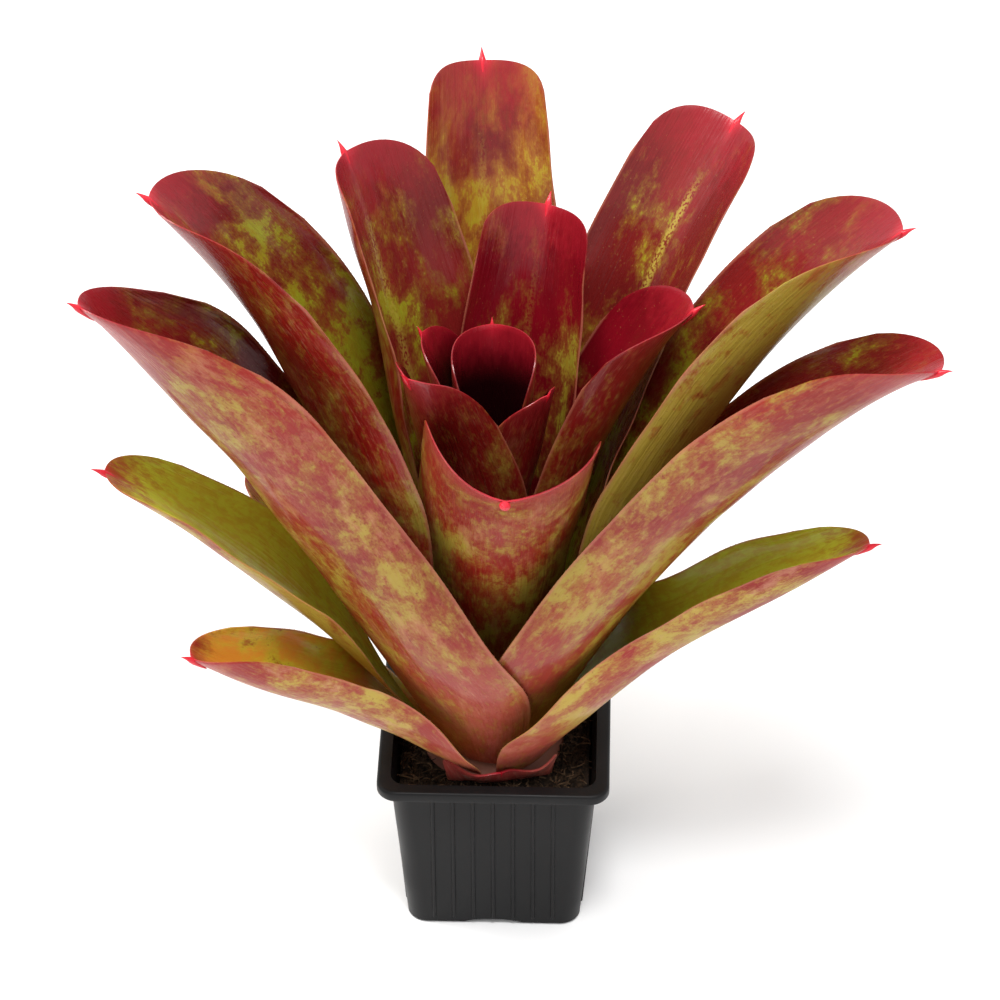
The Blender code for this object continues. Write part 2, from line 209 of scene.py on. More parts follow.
def leaf_surface(leaf, along):
    """middle surface of a leaf as a grid of points, foot first"""
    s = np.linspace(0, 1, STATIONS + 1)
    az = math.radians(leaf["az"])
    length, width = leaf["length"], leaf["width"]
    rise = leaf["foot"] * (1 - s) ** 2 + 2 * leaf["mid"] * s * (1 - s) + leaf["end"] * s ** 2
    rise = np.radians(rise)
    ca, sa = np.cos(rise), np.sin(rise)
    ux, uy = math.cos(az), math.sin(az)
    run = np.stack([ca * ux, ca * uy, sa], -1)
    foot_r = leaf["r"]
    foot_z = CONE_Z + CONE_RISE * (CONE_R - foot_r)
    start = np.array([foot_r * ux, foot_r * uy, foot_z])
    steps = np.cumsum((run[1:] + run[:-1]) / 2 * length / STATIONS, axis=0)
    line = np.vstack([start, start + steps])
    side = np.tile([-uy, ux, 0.0], (STATIONS + 1, 1))
    face = np.stack([-sa * ux, -sa * uy, ca], -1)
    roll = np.radians(leaf.get("roll", 0)) * ease((s - 0.15) / 0.85)
    cr, sr = np.cos(roll)[:, None], np.sin(roll)[:, None]
    side, face = side * cr + face * sr, face * cr - side * sr
    # half width: wide at the sheath, narrower at the tip, never past its share of the stem
    sheath = leaf.get("sheath", 1.0)
    half = width / 2 * (sheath + (1 - sheath) * ease((s - 0.02) / 0.5))
    taper_from = leaf.get("narrow_from", 0.5)
    half = half * (1 - leaf.get("narrow", 0.1) * ease((s - taper_from) / (1 - taper_from)))
    out = np.hypot(line[:, 0], line[:, 1])
    limit = leaf.get("wrap", 1.75) * out / np.maximum(sa, 0.3)
    half = (half ** -6 + limit ** -6) ** (-1 / 6)
    # the blade bends across as a channel, and round the stem near its foot
    channel = math.radians(leaf["channel"]) / half * ease((s + 0.05) / 0.55)
    round_stem = sa / np.maximum(out, 3)
    bend = (channel ** 4 + round_stem ** 4) ** 0.25

    def at(table):
        return np.stack([np.interp(along, s, table[:, i]) for i in range(3)], -1)

    w, k = np.interp(along, s, half), np.interp(along, s, bend)
    ang = np.clip(np.array(ACROSS) * w * k, -2.9, 2.9)
    points = at(line) + at(side) * (np.sin(ang) / k)[..., None]
    points = points + at(face) * ((1 - np.cos(ang)) / k)[..., None]
    lift = points[0, :, 2] - foot_z
    points[..., 2] -= lift * (1 - ease(along / 0.3))
    return points + np.array([PLANT_X, PLANT_Y, 0.0])


def ruffle(leaf, look, s, t, dist):
    """how far each point stands off the smooth surface: margin waves, dents, pinched tip"""
    rng = np.random.default_rng(look["seed"])
    phase = rng.uniform(0, PHASE, 4)
    right = t > 0
    wave = np.sin(dist / 13 + phase[0] + right * phase[1])
    wave = wave + 0.6 * np.sin(dist / 5.3 + phase[2] + right * phase[3])
    wave *= np.abs(t) ** 4 * ease((s - 0.25) / 0.3) * 0.5
    wave += look.get("frill", 0.0) * 1.3 * np.sin(t * 6.5 + 0.9) * ease(s / 0.9)
    for _ in range(DENTS):
        lengthwise = rng.uniform(0.03, 0.11)
        crosswise = rng.uniform(0.02, 0.09) * rng.choice([-1, 1])
        dent = np.sin(dist * lengthwise + t * leaf["width"] * crosswise + rng.uniform(0, PHASE))
        wave += DENT_DEPTH * dent * ease((s - 0.22) / 0.25)
    near_tip = ease((dist - (leaf["length"] - 14)) / 12)
    return wave - 0.9 * near_tip * np.exp(-(t / 0.10) ** 2)


def closed_sheet(grid, normal, t):
    """points and faces of both sides of a blade and of the rim between them"""
    rows, cols = t.shape
    thick = BLADE - BLADE_LOSS * np.abs(t) ** 8
    thick[-1] = BLADE_TIP
    top = grid + normal * thick[..., None] / 2
    low = grid - normal * thick[..., None] / 2
    idx = np.arange(rows * cols).reshape(rows, cols)
    a, b = idx[:-1, :-1].ravel(), idx[1:, :-1].ravel()
    c, d = idx[1:, 1:].ravel(), idx[:-1, 1:].ravel()
    n = rows * cols
    faces = list(zip(a, b, c, d)) + list(zip(a + n, d + n, c + n, b + n))
    ring = [*idx[:, 0], *idx[-1, 1:], *idx[-2::-1, -1], *idx[0, -2:0:-1]]
    faces += [(p, p + n, q + n, q) for p, q in zip(ring, ring[1:] + ring[:1])]
    return [*top.reshape(-1, 3), *low.reshape(-1, 3)], faces


def tip_spine(grid, normal, look, first):
    """a curved red thorn whose root is sunk in the tip as a short keel"""
    middle = grid.shape[1] // 2
    tip = grid[-1, middle]
    out = tip - grid[-6, middle]
    out = out / np.linalg.norm(out)
    up = normal[-2, middle]
    side = np.cross(out, up)
    size, knob = look.get("spine", 1.0), look.get("knob", 0.0)
    points, faces = [], []
    for u, r in SPINE:
        drop = 0.5 + 0.04 * max(u, 0) ** 2 + knob * 1.3 * ease((u + 6) / 6)
        centre = tip + out * u * size * (1 - 0.5 * knob * (u > 0)) - up * drop * size
        r = r * size * (1 + 0.6 * knob)
        for q in range(SPINE_SIDES):
            w = 2 * math.pi * q / SPINE_SIDES
            points.append(centre + r * (side * math.cos(w) + up * math.sin(w) * 0.85))
    last = len(SPINE) - 1
    for i in range(last):
        for q in range(SPINE_SIDES):
            a = first + i * SPINE_SIDES + q
            b = first + i * SPINE_SIDES + (q + 1) % SPINE_SIDES
            faces.append((a, a + SPINE_SIDES, b + SPINE_SIDES, b))
    faces.append(tuple(first + q for q in range(SPINE_SIDES)))
    faces.append(tuple(first + last * SPINE_SIDES + q for q in reversed(range(SPINE_SIDES))))
    return points, faces


def leaf_blade(name, leaf, look):
    """closed blade with its spine and the values that its skin reads; also its two margins"""
    s = places_along(leaf)
    t = np.tile(ACROSS, (ROWS + 1, 1))
    dist = s * leaf["length"]
    grid = leaf_surface(leaf, s)
    normal = np.cross(np.gradient(grid, axis=0), np.gradient(grid, axis=1))
    normal /= np.maximum(np.linalg.norm(normal, axis=-1, keepdims=True), 1e-9)
    grid = grid + normal * ruffle(leaf, look, s, t, dist)[..., None]
    verts, faces = closed_sheet(grid, normal, t)
    sheet = len(verts)
    thorn, thorn_faces = tip_spine(grid, normal, look, sheet)
    verts = np.array(verts + thorn)
    mesh = bpy.data.meshes.new(name)
    mesh.from_pydata((verts * MM).tolist(), [],
                     [tuple(int(v) for v in face) for face in faces + thorn_faces])
    mesh.update()
    bm = bmesh.new()
    bm.from_mesh(mesh)
    bmesh.ops.recalc_face_normals(bm, faces=bm.faces)
    bm.to_mesh(mesh)
    bm.free()
    mesh.shade_smooth()
    mesh.set_sharp_from_angle(angle=math.radians(60))
    # place in the pattern; across, along and which face; then the leaf's own colouring
    pattern = look["seed"] * PATTERN_STEP
    place = np.stack([t * leaf["width"] / 2, dist, np.full_like(t, pattern)], -1).reshape(-1, 3)
    where = np.stack([t, s], -1).reshape(-1, 2)
    half = sheet // 2
    spine_place = np.tile([0.0, leaf["length"], pattern], (len(thorn), 1))
    spine_where = np.tile([0.0, SPINE_MARK, 0.5], (len(thorn), 1))
    put(mesh, "leaf_pos", np.concatenate([place, place, spine_place]))
    put(mesh, "leaf_at", np.concatenate([np.c_[where, np.ones(half)], np.c_[where, np.zeros(half)],
                                         spine_where]))
    mixing = [look["green_in"], look["green_out"], look.get("pale", 0.5)]
    # the first tone value is the share of painted cup shade
    tone = [look.get("dark", 0.0), look.get("streak", 0.0), look.get("warm", 0.0)]
    put(mesh, "leaf_mix", np.tile(mixing, (len(verts), 1)))
    put(mesh, "leaf_tone", np.tile(tone, (len(verts), 1)))
    obj = bpy.data.objects.new(name, mesh)
    bpy.context.collection.objects.link(obj)
    slope = np.gradient(grid, axis=1)
    return obj, [(grid[:, j], slope[:, j] * sign, s[:, j]) for j, sign in ((0, -1.0), (-1, 1.0))]


def put(mesh, name, values):
    """store one vector for each point of the mesh"""
    layer = mesh.attributes.new(name, "FLOAT_VECTOR", "POINT")
    layer.data.foreach_set("vector", np.asarray(values, np.float32).ravel())


class Skin:
    """a Principled material with short calls for its nodes"""

    MIX_A, MIX_B, MIX_OUT = 6, 7, 2      # colour sockets of the Mix node

    def __init__(self, name, rough=0.5, specular=0.5, coat=0.0):
        self.mat = bpy.data.materials.new(name)
        self.mat.use_nodes = True
        self.tree = self.mat.node_tree
        self.shader = self.tree.nodes["Principled BSDF"]
        self.shader.inputs["Roughness"].default_value = rough
        self.shader.inputs["Specular IOR Level"].default_value = specular
        self.shader.inputs["Coat Weight"].default_value = coat

    def link(self, value, socket):
        if hasattr(value, "is_linked"):
            self.tree.links.new(value, socket)
        elif isinstance(value, tuple) and len(value) == 3 and socket.type == "RGBA":
            socket.default_value = (*value, 1)
        else:
            socket.default_value = value

    def node(self, kind, **values):
        node = self.tree.nodes.new(kind)
        for key, value in values.items():
            setattr(node, key, value)
        return node

    def math(self, operation, a, b=0.0):
        node = self.node("ShaderNodeMath", operation=operation)
        self.link(a, node.inputs[0])
        self.link(b, node.inputs[1])
        return node.outputs[0]

    def times(self, a, b):
        return self.math("MULTIPLY", a, b)

    def plus(self, a, b):
        return self.math("ADD", a, b)

    def minus(self, a, b):
        return self.math("SUBTRACT", a, b)

    def size(self, a):
        return self.math("ABSOLUTE", a)

    def swing(self, noise, amount):
        """noise turned into a push up or down"""
        return self.times(self.minus(noise, 0.5), amount)

    def attribute(self, name):
        return self.node("ShaderNodeAttribute", attribute_name=name).outputs["Vector"]

    def split(self, vector):
        node = self.node("ShaderNodeSeparateXYZ")
        self.link(vector, node.inputs[0])
        return node.outputs[0], node.outputs[1], node.outputs[2]

    def stretch(self, vector, scale):
        node = self.node("ShaderNodeVectorMath", operation="MULTIPLY")
        self.link(vector, node.inputs[0])
        node.inputs[1].default_value = scale
        return node.outputs[0]

    def objects(self):
        return self.node("ShaderNodeTexCoord").outputs["Object"]

    def noise(self, vector, scale, detail=4.0, rough=0.6, warp=0.0):
        node = self.node("ShaderNodeTexNoise")
        self.link(vector, node.inputs["Vector"])
        node.inputs["Scale"].default_value = scale
        node.inputs["Detail"].default_value = detail
        node.inputs["Roughness"].default_value = rough
        node.inputs["Distortion"].default_value = warp
        return node.outputs[0]

    def step(self, value, low, high, out_low=0.0, out_high=1.0):
        """smooth rise of value from low to high"""
        node = self.node("ShaderNodeMapRange", interpolation_type="SMOOTHSTEP")
        self.link(value, node.inputs["Value"])
        self.link(low, node.inputs["From Min"])
        self.link(high, node.inputs["From Max"])
        node.inputs["To Min"].default_value = out_low
        node.inputs["To Max"].default_value = out_high
        return node.outputs["Result"]

    def mix(self, share, a, b):
        node = self.node("ShaderNodeMix", data_type="RGBA", blend_type="MIX")
        self.link(share, node.inputs[0])
        self.link(a, node.inputs[self.MIX_A])
        self.link(b, node.inputs[self.MIX_B])
        return node.outputs[self.MIX_OUT]

    def colour(self, value):
        self.link(value, self.shader.inputs["Base Color"])

    def roughness(self, value):
        self.link(value, self.shader.inputs["Roughness"])

    def bump(self, height, strength, depth):
        node = self.node("ShaderNodeBump")
        node.inputs["Strength"].default_value = strength
        node.inputs["Distance"].default_value = depth
        self.link(height, node.inputs["Height"])
        self.link(node.outputs[0], self.shader.inputs["Normal"])


def tint(colour, factors):
    return tuple(c * k for c, k in zip(colour, factors))


def between(a, b, k):
    return tuple(x * (1 - k) + y * k for x, y in zip(a, b))


# colours that every leaf skin shares
AMBER = (0.60, 0.23, 0.026)
PALE_LINE = (0.40, 0.30, 0.045)
TAN_DOT = (0.55, 0.35, 0.12)
FOOT_PINK = (0.42, 0.105, 0.070)
SCURF = (0.50, 0.30, 0.17)
CRIMSON_INSIDE = (0.27, 0.008, 0.016)
CRIMSON_OUTSIDE = (0.34, 0.018, 0.026)
TIP_RED = (0.50, 0.014, 0.030)
SPINE_RED = (0.60, 0.016, 0.032)
RIM_TAN = (0.42, 0.13, 0.08)
CUP_PAINTED_SHADE = (0.006, 0.0006, 0.001)


def leaf_skin(name, inner_red, inner_lime, outer_red, outer_lime, outer_pale, gloss):
    """mottled leaf: one colouring for the inner face, a duller scurfy one for the back"""
    skin = Skin(name, rough=gloss, specular=0.22, coat=0.25)
    skin.shader.inputs["Coat Roughness"].default_value = 0.13
    pos = skin.attribute("leaf_pos")
    t, s, inner = skin.split(skin.attribute("leaf_at"))
    green_in, green_out, pale = skin.split(skin.attribute("leaf_mix"))
    dark, streak, warm = skin.split(skin.attribute("leaf_tone"))

    def clouds(lengthwise, *settings):
        return skin.noise(skin.stretch(pos, (1.0, lengthwise, 1.0)), *settings)

    blotch = clouds(0.62, 0.060, 8, 0.64, 0.25)
    fleck = clouds(0.45, 0.36, 5, 0.66, 0.15)
    grain = clouds(0.16, 1.3, 4, 0.65)
    fine = clouds(0.7, 1.1, 3, 0.6)
    wide = clouds(0.5, 0.026, 4, 0.55)

    # more lime low on the blade, more red toward the end; the back's foot stays red
    field = skin.plus(blotch, skin.plus(skin.swing(fleck, 0.26), skin.swing(fine, 0.16)))
    field = skin.plus(field, skin.times(skin.minus(s, 0.55), -0.26))
    low_red = skin.times(skin.math("MAXIMUM", skin.minus(0.50, s), 0.0), -0.42)
    back_field = skin.plus(field, low_red)

    def patch(amount, soft, share, source=field):
        cut = skin.minus(0.70, skin.times(amount, 0.40))
        return skin.times(skin.step(source, skin.minus(cut, soft), skin.plus(cut, soft)), share)

    # inner face: deep red, an olive-brown fringe, then lime
    olive = between(inner_red, inner_lime, 0.50)
    face = skin.mix(skin.step(wide, 0.36, 0.62), tint(inner_red, (0.66, 0.66, 0.66)), inner_red)
    face = skin.mix(patch(skin.plus(green_in, 0.20), 0.10, 0.70), face,
                    between(inner_red, olive, 0.8))
    face = skin.mix(patch(skin.plus(green_in, 0.06), 0.045, 0.85), face, olive)
    lime = skin.mix(skin.step(fleck, 0.40, 0.62), inner_lime, tint(inner_lime, (0.95, 0.72, 0.7)))
    face = skin.mix(patch(green_in, 0.030, 0.93), face, lime)
    face = skin.mix(skin.times(warm, skin.step(blotch, 0.35, 0.6)), face, AMBER)
    line = skin.step(skin.size(skin.minus(t, 0.03)), 0.085, 0.015)
    line = skin.times(line, skin.step(fine, 0.42, 0.52))
    line = skin.times(line, skin.times(streak, skin.step(s, 0.93, 0.84)))
    face = skin.mix(skin.times(line, 0.8), face, PALE_LINE)
    dots = skin.times(skin.step(fine, 0.66, 0.72), 0.35)
    face = skin.mix(dots, face, between(inner_red, TAN_DOT, 0.55))

    # back: dusty red and yellow-green clouded together, pale scurf in fine streaks
    red = skin.mix(skin.step(wide, 0.38, 0.60), tint(outer_red, (0.84, 0.55, 0.55)), outer_red)
    red = skin.mix(skin.times(skin.step(fleck, 0.50, 0.66), 0.55), red,
                   between(outer_red, outer_lime, 0.55))
    back = skin.mix(patch(skin.plus(green_out, 0.16), 0.12, 0.80, back_field), red,
                    between(outer_red, outer_lime, 0.62))
    back = skin.mix(patch(green_out, 0.07, 0.85, back_field), back, outer_lime)
    rust = skin.times(skin.step(clouds(0.55, 0.16, 6, 0.72, 0.2), 0.52, 0.64), 0.50)
    back = skin.mix(rust, back, tint(outer_red, (0.95, 0.70, 0.60)))
    veil = skin.step(clouds(0.4, 0.10, 7, 0.74, 0.1), 0.50, 0.68)
    back = skin.mix(skin.times(veil, skin.times(pale, 0.80)), back, outer_pale)
    foot = skin.step(s, 0.34, 0.05)
    back = skin.mix(skin.times(foot, skin.step(fleck, 0.62, 0.40, 0.25, 0.65)), back, FOOT_PINK)
    back = skin.mix(skin.times(skin.step(grain, 0.54, 0.72), 0.20), back, SCURF)
    back = skin.mix(skin.times(skin.step(fine, 0.36, 0.30), 0.50), back,
                    tint(outer_red, (0.45, 0.45, 0.45)))

    # both faces: red end and thorn, pale rim, and painted shade that darkens the inner face deep in
    # the cup
    both = skin.mix(inner, back, face)
    end = skin.step(skin.plus(s, skin.swing(fleck, 0.22)), 0.86, 1.0)
    middle = skin.step(skin.size(t), 1.0, 0.2, 0.55, 0.85)
    both = skin.mix(skin.times(end, middle), both,
                    skin.mix(inner, CRIMSON_OUTSIDE, CRIMSON_INSIDE))
    bright = skin.step(skin.plus(s, skin.times(skin.size(t), -0.16)), 0.955, 1.0)
    both = skin.mix(skin.times(bright, 0.8), both, TIP_RED)
    both = skin.mix(skin.step(s, 1.05, 1.3), both, SPINE_RED)
    rim = skin.step(skin.size(t), 0.970, 0.992)
    both = skin.mix(skin.times(rim, 0.55), both, RIM_TAN)
    # painted shade: the inner face fades to near black toward the foot, where the cup is in shadow
    depth = skin.times(skin.times(dark, inner), skin.step(s, 0.985, 0.85))
    skin.colour(skin.mix(depth, both, CUP_PAINTED_SHADE))

    # gloss and relief: the back is duller, veins run lengthwise
    shine = skin.plus(gloss, skin.swing(grain, 0.25))
    skin.roughness(skin.plus(shine, skin.times(skin.minus(1.0, inner), 0.16)))
    veins = clouds(0.012, 0.75, 2, 0.5)
    dents = clouds(0.5, 0.09, 3, 0.5)
    height = skin.plus(veins, skin.times(grain, 0.22))
    skin.bump(skin.plus(height, skin.times(dents, 2.4)), 0.50, 0.0007)
    skin.shader.inputs["Subsurface Weight"].default_value = 0.04
    skin.shader.inputs["Subsurface Radius"].default_value = (0.004, 0.0015, 0.0008)
    return skin.mat


def pot_skin():
    """black moulded plastic with a little dust"""
    skin = Skin("black moulded plastic", rough=0.36, specular=0.17)
    p = skin.objects()
    fine = skin.noise(p, 900.0, 3, 0.6)
    wide = skin.noise(p, 30.0, 4, 0.55)
    dust = skin.step(skin.noise(p, 140.0, 6, 0.7, 0.4), 0.58, 0.78)
    base = skin.mix(wide, (0.0045, 0.0045, 0.005), (0.010, 0.0095, 0.0095))
    skin.colour(skin.mix(skin.times(dust, 0.12), base, (0.06, 0.05, 0.04)))
    skin.roughness(skin.step(wide, 0.3, 0.7, 0.34, 0.50))
    skin.bump(fine, 0.12, 0.0002)
    return skin.mat


def peat_skin(name, low, high, scale):
    """crumbly brown with paler specks"""
    skin = Skin(name, rough=0.95, specular=0.2)
    p = skin.objects()
    big = skin.noise(p, scale, 8, 0.7, 0.3)
    fine = skin.noise(p, scale * 6, 6, 0.7)
    tone = skin.mix(skin.step(big, 0.36, 0.64), low, high)
    specks = skin.times(skin.step(fine, 0.6, 0.75), 0.5)
    skin.colour(skin.mix(specks, tone, tint(high, (2.2, 2.2, 2.2))))
    skin.bump(skin.plus(big, fine), 0.8, 0.0012)
    return skin.mat


def stem_skin():
    """pale stem with fine rings"""
    skin = Skin("pale stem tissue", rough=0.6)
    rings = skin.noise(skin.stretch(skin.objects(), (60.0, 60.0, 500.0)), 1.0, 5, 0.6)
    skin.colour(skin.mix(rings, (0.16, 0.035, 0.022), (0.28, 0.10, 0.05)))
    skin.bump(rings, 0.4, 0.0006)
    return skin.mat


def tooth_skin():
    """reddish tan teeth"""
    skin = Skin("leaf teeth", rough=0.5)
    speckle = skin.noise(skin.objects(), 300.0, 2, 0.5)
    skin.colour(skin.mix(speckle, (0.26, 0.06, 0.04), (0.50, 0.20, 0.10)))
    return skin.mat


class Rule:
    """a geometry-nodes tree with named inputs, used once and turned into a plain mesh"""

    def __init__(self, name, **sizes):
        self.tree = bpy.data.node_groups.new(name, "GeometryNodeTree")
        face = self.tree.interface
        face.new_socket("Geometry", in_out="INPUT", socket_type="NodeSocketGeometry")
        self.sizes = {}
        for label, value in sizes.items():
            kind = "NodeSocketInt" if isinstance(value, int) else "NodeSocketFloat"
            socket = face.new_socket(label, in_out="INPUT", socket_type=kind)
            self.sizes[label] = (socket.identifier, value)
        face.new_socket("Geometry", in_out="OUTPUT", socket_type="NodeSocketGeometry")
        self.source = self.tree.nodes.new("NodeGroupInput")

    def size(self, label):
        return self.source.outputs[label]

    def feed(self, socket, value):
        if hasattr(value, "is_linked"):
            self.tree.links.new(value, socket)
        else:
            socket.default_value = value

    def add(self, kind, props=None, **inputs):
        """node with its properties set and its inputs fed; an underscore stands for a space"""
        node = self.tree.nodes.new(kind)
        for key, value in (props or {}).items():
            setattr(node, key, value)
        for key, value in inputs.items():
            self.feed(node.inputs[key.replace("_", " ")], value)
        return node

    def math(self, operation, a, b=0.0):
        node = self.add("ShaderNodeMath", {"operation": operation})
        self.feed(node.inputs[0], a)
        self.feed(node.inputs[1], b)
        return node.outputs[0]

    def xyz(self, x=0.0, y=0.0, z=0.0):
        return self.add("ShaderNodeCombineXYZ", X=x, Y=y, Z=z).outputs[0]

    def turned(self, angles):
        node = self.add("FunctionNodeEulerToRotation")
        self.feed(node.inputs[0], angles)
        return node.outputs[0]

    def random(self, low, high, seed):
        kind = "FLOAT_VECTOR" if isinstance(low, tuple) else "FLOAT"
        node = self.add("FunctionNodeRandomValue", {"data_type": kind})
        live = [socket for socket in node.inputs if socket.enabled]
        self.feed(live[0], low)
        self.feed(live[1], high)
        self.feed([socket for socket in node.inputs if socket.name == "Seed"][0], seed)
        return [socket for socket in node.outputs if socket.enabled][0]

    def strew(self, piece, lean_low, lean_high, small, large, size_seed):
        """the piece at random points of the carrier, each with its own lean and size"""
        seed = self.size("Seed")
        spread = self.add("GeometryNodeDistributePointsOnFaces", Mesh=self.size("Geometry"),
                          Density=self.size("Density"), Seed=seed)
        grow = self.random(small, large, self.math("ADD", seed, size_seed))
        return self.add("GeometryNodeInstanceOnPoints", Points=spread.outputs[0], Instance=piece,
                        Rotation=self.turned(self.random(lean_low, lean_high, seed)), Scale=grow)

    def make(self, name, last, material, carrier=None):
        """realise what the last node gives on the carrier mesh and return a plain object"""
        real = self.add("GeometryNodeRealizeInstances", Geometry=last.outputs[0])
        paint = self.add("GeometryNodeSetMaterial", Geometry=real.outputs[0])
        paint.inputs["Material"].default_value = material
        end = self.tree.nodes.new("NodeGroupOutput")
        self.tree.links.new(paint.outputs[0], end.inputs[0])
        obj = bpy.data.objects.new(name, carrier or bpy.data.meshes.new(name + "_base"))
        bpy.context.collection.objects.link(obj)
        mod = obj.modifiers.new("rule", "NODES")
        mod.node_group = self.tree
        for identifier, value in self.sizes.values():
            mod[identifier] = value
        graph = bpy.context.evaluated_depsgraph_get()
        mesh = bpy.data.meshes.new_from_object(obj.evaluated_get(graph))
        obj.modifiers.remove(mod)
        obj.data = mesh
        mesh.name = name
        return obj


def teeth(edges, material):
    """small thorns along every leaf margin, set at a steady spacing and pointing outward"""
    points, links, outs, grow = [], [], [], []
    for line, out, s in edges:
        keep = [k for k in range(len(line)) if TEETH_SPAN[0] < s[k] < TEETH_SPAN[1]]
        first = len(points)
        for k in keep:
            points.append(line[k] * MM)
            outs.append(out[k] / max(np.linalg.norm(out[k]), 1e-9))
            grow.append(1.0 - 0.4 * s[k])
        links += [(first + k, first + k + 1) for k in range(len(keep) - 1)]
    mesh = bpy.data.meshes.new("margins")
    mesh.from_pydata([tuple(p) for p in points], links, [])
    put(mesh, "outward", outs)
    layer = mesh.attributes.new("grow", "FLOAT", "POINT")
    layer.data.foreach_set("value", np.array(grow, np.float32))
    rule = Rule("leaf_margin_teeth", Spacing=0.0026, Length=0.00062, Root=0.00019,
                Point=0.00002, Seed=7)
    curve = rule.add("GeometryNodeMeshToCurve", Mesh=rule.size("Geometry"))
    even = rule.add("GeometryNodeResampleCurve", {"mode": "LENGTH"}, Curve=curve.outputs[0],
                    Length=rule.size("Spacing"))
    thorn = rule.add("GeometryNodeMeshCone", Vertices=4, Radius_Top=rule.size("Point"),
                     Radius_Bottom=rule.size("Root"), Depth=rule.size("Length"))
    outward = rule.add("GeometryNodeInputNamedAttribute", {"data_type": "FLOAT_VECTOR"},
                       Name="outward")
    size = rule.add("GeometryNodeInputNamedAttribute", {"data_type": "FLOAT"}, Name="grow")
    turn = rule.add("FunctionNodeAlignRotationToVector", {"axis": "Z"}, Vector=outward.outputs[0])
    vary = rule.math("MULTIPLY", size.outputs[0], rule.random(0.6, 1.25, rule.size("Seed")))
    place = rule.add("GeometryNodeInstanceOnPoints", Points=even.outputs[0],
                     Instance=thorn.outputs["Mesh"], Rotation=turn.outputs[0], Scale=vary)
    return rule.make("leaf_margin_teeth", place, material, mesh)


def wall_ribs(material):
    """slim upright beads on the four pot walls, following the taper"""
    rule = Rule("pot_wall_ribs", Pitch=0.0078, Bead=0.0008, Count=7, Sides=4,
                Turn=math.radians(POT_TURN))
    low = (0.0, -(BASE + 0.4) / 2 * MM, 3.5 * MM)
    high = (0.0, -(BODY_TOP - 0.3) / 2 * MM, (POT_H - RIM_LIP - 0.3) * MM)
    line = rule.add("GeometryNodeCurvePrimitiveLine", Start=low, End=high)
    circle = rule.add("GeometryNodeCurvePrimitiveCircle", Resolution=8, Radius=rule.size("Bead"))
    bead = rule.add("GeometryNodeCurveToMesh", Curve=line.outputs[0],
                    Profile_Curve=circle.outputs[0], Fill_Caps=True)
    half = rule.math("MULTIPLY", rule.math("SUBTRACT", rule.size("Count"), 1), -0.5)
    first = rule.xyz(rule.math("MULTIPLY", half, rule.size("Pitch")))
    row = rule.add("GeometryNodeMeshLine", Count=rule.size("Count"), Start_Location=first,
                   Offset=rule.xyz(rule.size("Pitch")))
    wall = rule.add("GeometryNodeInstanceOnPoints", Points=row.outputs[0],
                    Instance=bead.outputs[0])
    corner = rule.add("GeometryNodeMeshLine", Count=rule.size("Sides"), Offset=(0.0, 0.0, 0.0))
    index = rule.add("GeometryNodeInputIndex")
    quarter = rule.math("MULTIPLY", index.outputs[0], math.pi / 2)
    spin = rule.turned(rule.xyz(0.0, 0.0, rule.math("ADD", quarter, rule.size("Turn"))))
    around = rule.add("GeometryNodeInstanceOnPoints", Points=corner.outputs[0],
                      Instance=wall.outputs[0], Rotation=spin)
    return rule.make("pot_wall_ribs", around, material)


def litter(name, material, carrier, density, seed, length, thick, curl):
    """short bent fibres strewn over the soil"""
    rule = Rule(name, Density=density, Seed=seed, Length=length, Thick=thick, Curl=curl)
    half = rule.math("MULTIPLY", rule.size("Length"), 0.5)
    bulge = rule.xyz(0.0, rule.size("Curl"), rule.math("MULTIPLY", rule.size("Curl"), 0.5))
    bow = rule.add("GeometryNodeCurveQuadraticBezier", Resolution=5,
                   Start=rule.xyz(rule.math("MULTIPLY", half, -1.0)), Middle=bulge,
                   End=rule.xyz(half))
    ring = rule.add("GeometryNodeCurvePrimitiveCircle", Resolution=5, Radius=rule.size("Thick"))
    strand = rule.add("GeometryNodeCurveToMesh", Curve=bow.outputs[0],
                      Profile_Curve=ring.outputs[0], Fill_Caps=True)
    strewn = rule.strew(strand.outputs[0], (-0.5, -0.35, 0.0), (0.5, 0.35, PHASE),
                        (0.35, 0.5, 0.5), (1.1, 1.3, 1.3), 5)
    return rule.make(name, strewn, material, carrier.copy())


def crumbs(name, material, carrier, density, seed, radius):
    """rough grains of peat"""
    rule = Rule(name, Density=density, Seed=seed, Radius=radius)
    grain = rule.add("GeometryNodeMeshIcoSphere", Radius=rule.size("Radius"), Subdivisions=1)
    strewn = rule.strew(grain.outputs[0], (0.0, 0.0, 0.0), (PHASE, PHASE, PHASE),
                        (0.4, 0.4, 0.3), (1.6, 1.2, 1.0), 3)
    return rule.make(name, strewn, material, carrier.copy())


def rounded_square(size, radius, z, corner=10):
    """closed outline of a square with round corners, counter-clockwise seen from above"""
    pts = []
    for q, (sx, sy) in enumerate(((1, 1), (-1, 1), (-1, -1), (1, -1))):
        for k in range(corner + 1):
            a = math.radians(90 * q + 90 * k / corner)
            x = sx * (size / 2 - radius) + radius * math.cos(a)
            y = sy * (size / 2 - radius) + radius * math.sin(a)
            pts.append((x, y, z))
    return pts


def loft(rings):
    """closed skin through rings of equal point counts, capped at both ends"""
    verts = [p for ring in rings for p in ring]
    n = len(rings[0])
    faces = [tuple(reversed(range(n)))]
    for i in range(len(rings) - 1):
        for j in range(n):
            a, b = i * n + j, i * n + (j + 1) % n
            faces.append((a, b, b + n, a + n))
    faces.append(tuple(range((len(rings) - 1) * n, len(rings) * n)))
    return verts, faces


